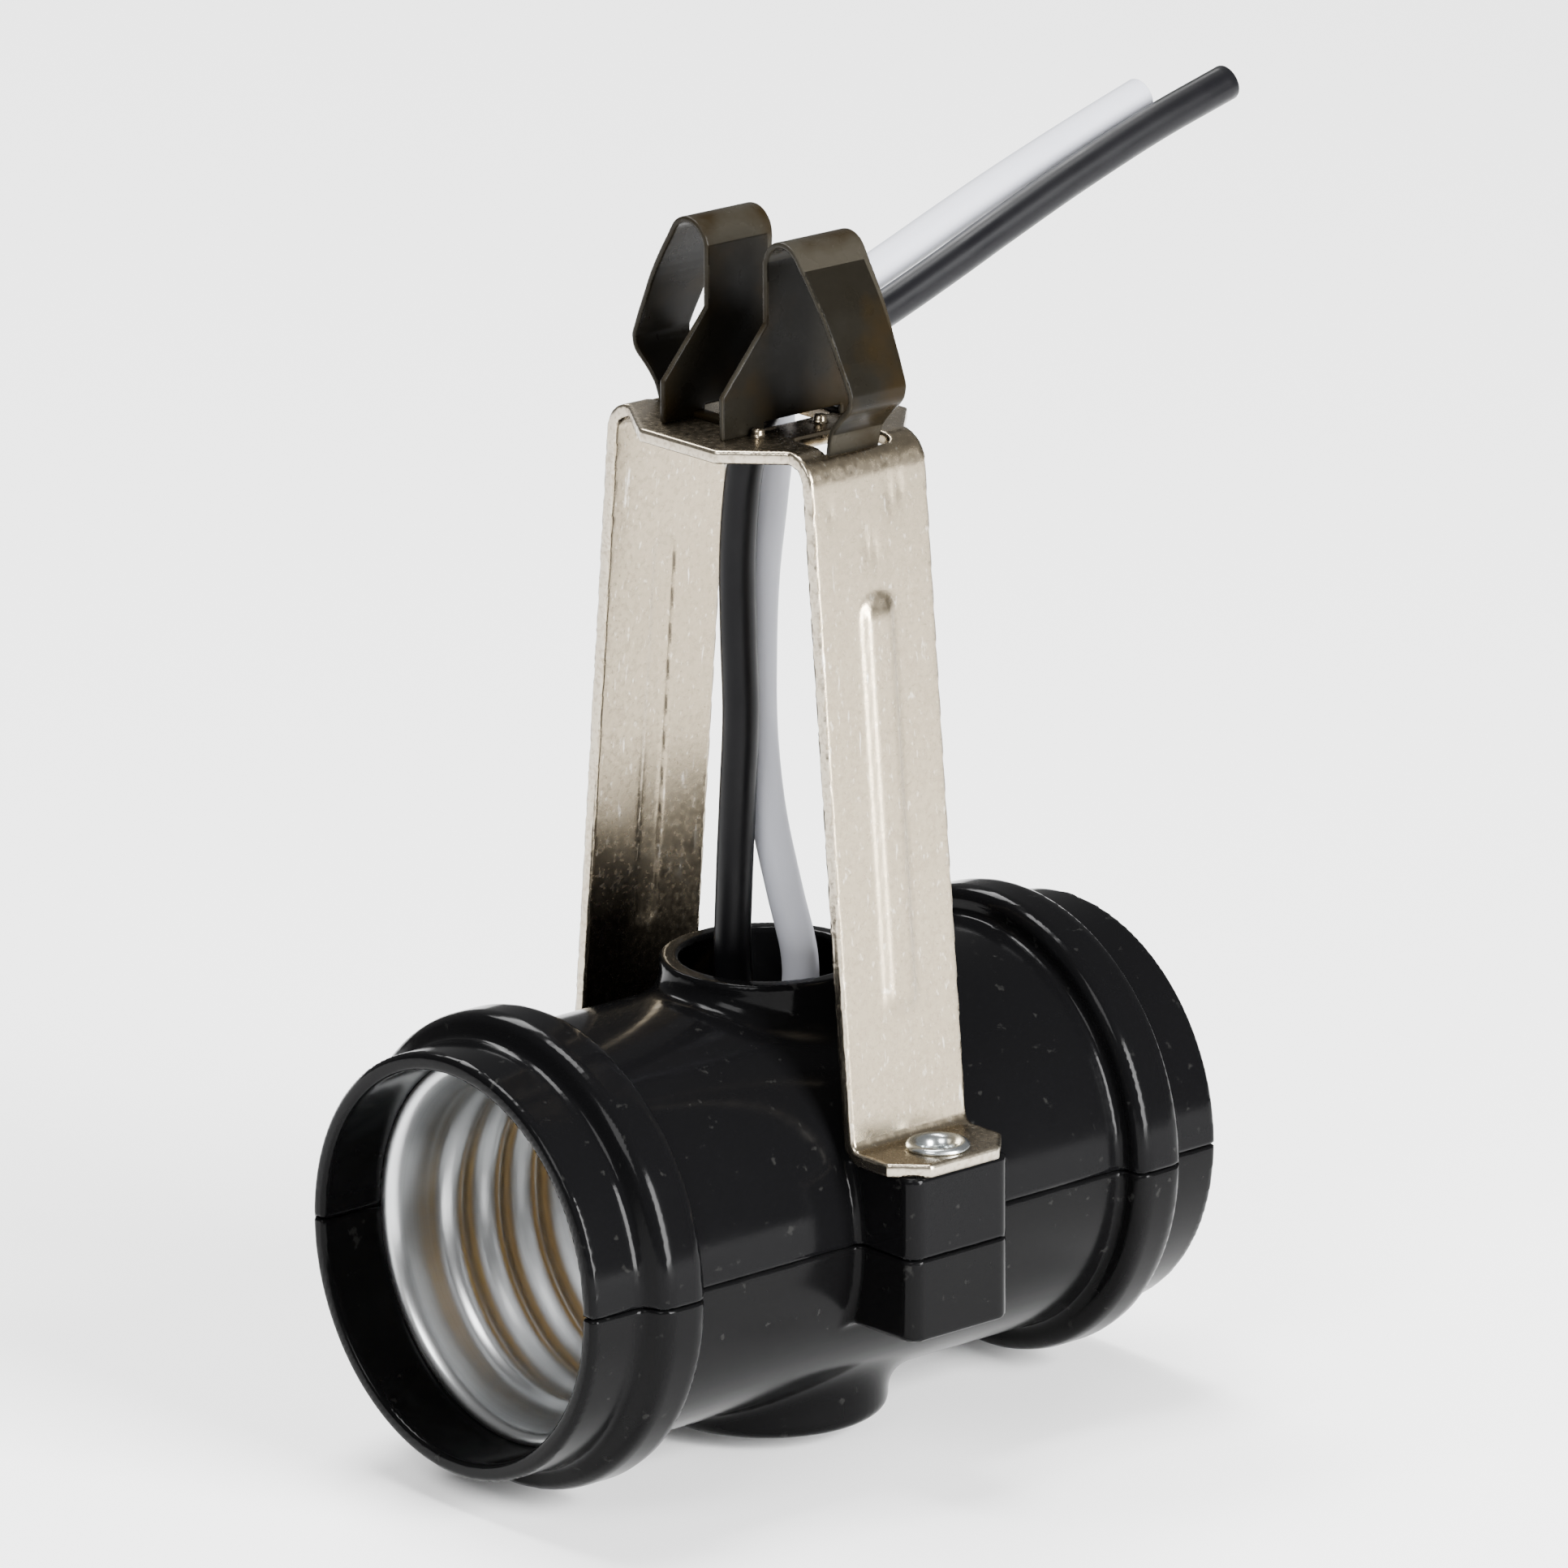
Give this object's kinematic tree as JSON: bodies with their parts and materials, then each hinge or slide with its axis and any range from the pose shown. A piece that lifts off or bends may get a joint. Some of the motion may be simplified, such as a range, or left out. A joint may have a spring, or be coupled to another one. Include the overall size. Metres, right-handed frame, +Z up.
{
  "type": "heat lamp fixture",
  "caption": "Socket cluster with a lamp socket facing out at each end, hung from a riveted strap bracket with a spring clip on top and wire leads running up through it.",
  "frame": {"origin": "centre of the bracket's top plate, on its upper face, where the spring clip snaps the cluster into a fixture", "axes": "X along the sockets, Y across them with the two ears and bracket legs at -Y and +Y, Z up out of the top plate"},
  "size_m": [0.077, 0.0446, 0.0978],
  "materials": {
    "black_phenolic": "moulded phenolic, glossy with fine flow marks",
    "aluminium_shell": "rolled bright",
    "fibre_disc": "vulcanised fibre sheet",
    "brass_parts": "stamped, mill finish",
    "copper_wire": "bare copper strands",
    "nickel_bracket": "dull nickel plate",
    "zinc_eyelet": "bright zinc plate",
    "spring_steel": "blued spring steel, worn brown in places",
    "black_insulation": "smooth extruded",
    "white_insulation": "smooth extruded"
  },
  "bodies": {
    "fixture": {"upper_shell": "black_phenolic", "lower_shell": "black_phenolic", "left_screw_shell": "aluminium_shell", "right_screw_shell": "aluminium_shell", "left_insulating_disc": "fibre_disc", "right_insulating_disc": "fibre_disc", "hot_bus": "brass_parts", "neutral_strap": "brass_parts", "hot_rivets": "brass_parts", "neutral_rivets": "brass_parts", "left_contact_foot": "brass_parts", "right_contact_foot": "brass_parts", "hot_crimp": "brass_parts", "neutral_crimp": "brass_parts", "black_strands": "copper_wire", "white_strands": "copper_wire", "bracket": "nickel_bracket", "front_eyelet": "zinc_eyelet", "back_eyelet": "zinc_eyelet", "clip_base": "spring_steel", "black_lead": "black_insulation", "white_lead": "white_insulation"},
    "left_tongue": {"left_centre_contact": "brass_parts"},
    "right_tongue": {"right_centre_contact": "brass_parts"},
    "front_leg": {"front_clip_leg": "spring_steel"},
    "back_leg": {"back_clip_leg": "spring_steel"}
  },
  "joints": [
    {"name": "front_leg_spring", "type": "hinge", "parent": "fixture", "child": "front_leg", "pos_m": [0, -0.0053, 0.01425], "axis": [1, 0, 0], "range_deg": [0, 9], "stiffness_Nm_per_rad": 0.6},
    {"name": "back_leg_spring", "type": "hinge", "parent": "fixture", "child": "back_leg", "pos_m": [0, 0.0053, 0.01425], "axis": [-1, 0, 0], "range_deg": [0, 9], "stiffness_Nm_per_rad": 0.6},
    {"name": "left_contact_spring", "type": "hinge", "parent": "fixture", "child": "left_tongue", "pos_m": [-0.006, 0, -0.0654], "axis": [0, 1, 0], "range_deg": [0, 8], "stiffness_Nm_per_rad": 0.4},
    {"name": "right_contact_spring", "type": "hinge", "parent": "fixture", "child": "right_tongue", "pos_m": [0.006, 0, -0.0654], "axis": [0, -1, 0], "range_deg": [0, 8], "stiffness_Nm_per_rad": 0.4}
  ]
}
